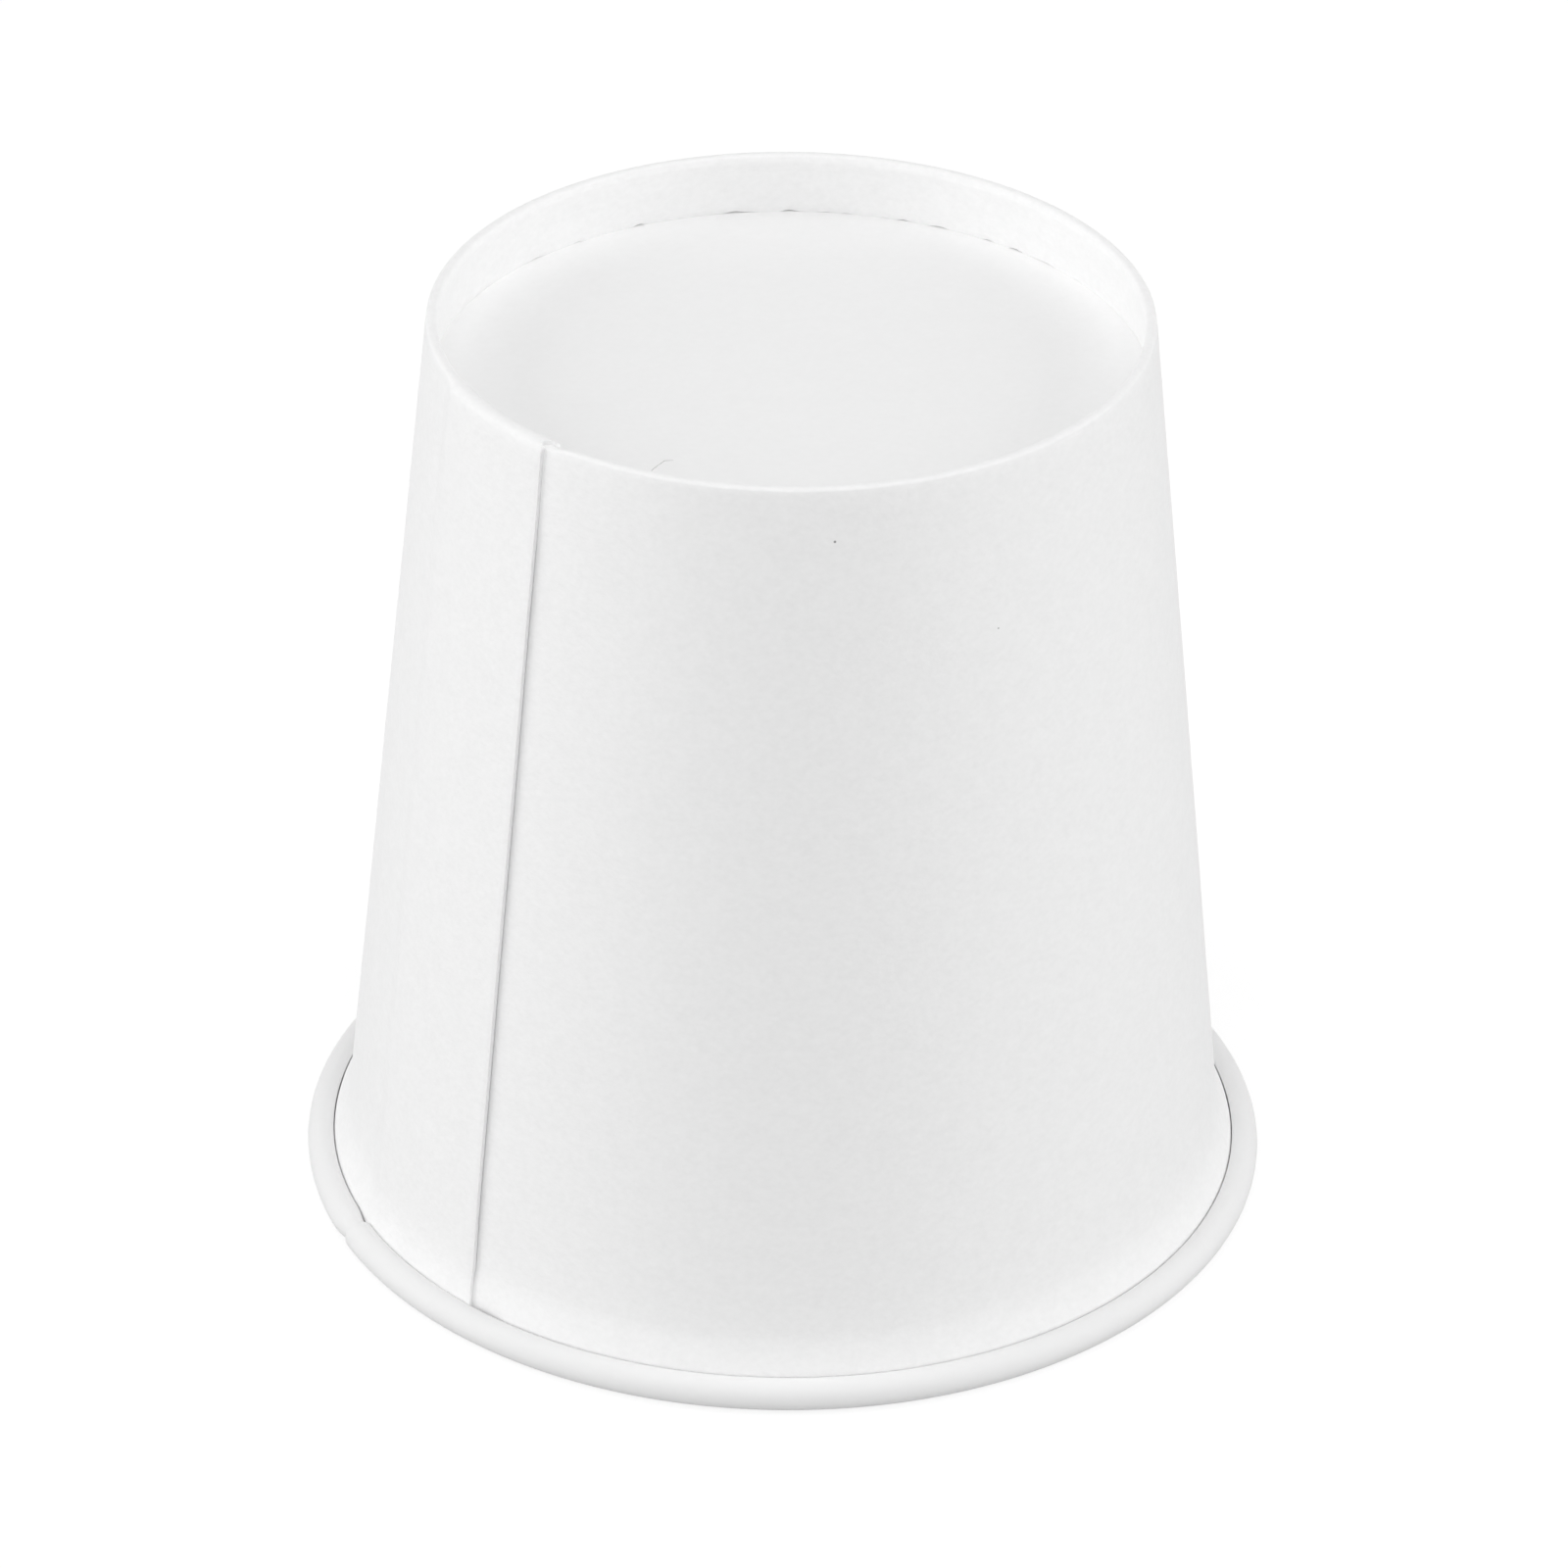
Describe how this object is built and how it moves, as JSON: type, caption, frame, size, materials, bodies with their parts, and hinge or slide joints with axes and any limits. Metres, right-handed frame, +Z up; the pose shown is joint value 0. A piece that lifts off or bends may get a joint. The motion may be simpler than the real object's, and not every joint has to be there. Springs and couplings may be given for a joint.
{
  "type": "paper hot cup",
  "caption": "Plain white single-wall paper cup for hot drinks, espresso size, standing upside down on its rolled rim, with a lapped side seam and a recessed base.",
  "frame": {"origin": "on the surface that the cup stands on, in the middle of the rolled rim, with the cup upside down", "axes": "+Z up along the cup's axis, from the rolled rim towards the base; -Y is the side that the picture sees, with the seam on the left of it"},
  "size_m": [0.062, 0.062, 0.0609],
  "materials": {
    "wall_board": "uncoated matt white board outside, thin clear film inside",
    "bottom_board": "uncoated matt white board"
  },
  "bodies": {
    "root": {"side_wall": "wall_board", "bottom_disc": "bottom_board"}
  },
  "joints": []
}
